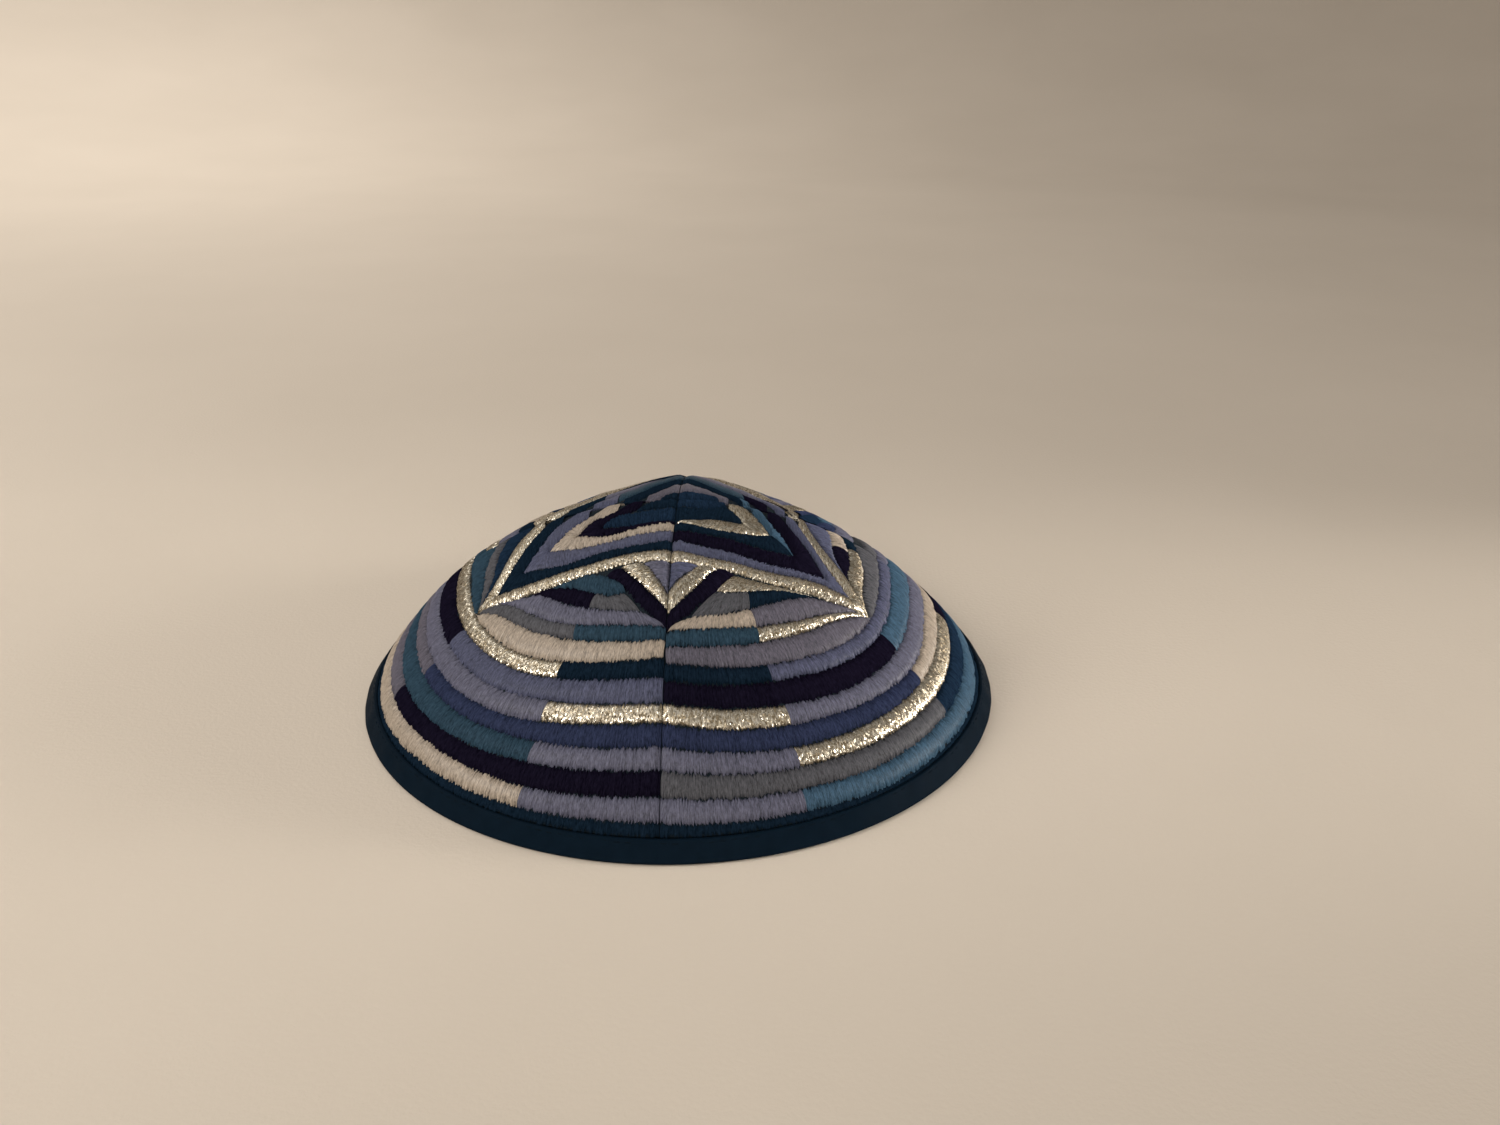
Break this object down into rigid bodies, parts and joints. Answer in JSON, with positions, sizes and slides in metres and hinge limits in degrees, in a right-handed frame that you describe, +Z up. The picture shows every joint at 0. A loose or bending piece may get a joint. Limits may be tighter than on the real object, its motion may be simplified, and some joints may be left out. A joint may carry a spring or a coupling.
{
  "type": "kippah skullcap",
  "caption": "Shallow round skullcap of embroidered quarter panels sewn at seams, with a satin binding at the rim; rests on its rim.",
  "frame": {"origin": "centre of the rim's foot, on the surface that the cap rests on", "axes": "+Z up through the crown, -Y towards the front seam, +X towards the right side seam seen from the front"},
  "size_m": [0.1712, 0.1712, 0.0536],
  "materials": {
    "embroidered_cloth": "dense satin stitch in silky thread, with some metallic thread, on dark teal cloth",
    "satin_tape": "smooth dark teal satin, folded tape with a fine topstitch"
  },
  "bodies": {
    "root": {"panel_front_right": "embroidered_cloth", "panel_back_right": "embroidered_cloth", "panel_back_left": "embroidered_cloth", "panel_front_left": "embroidered_cloth", "rim_binding": "satin_tape"}
  },
  "joints": []
}
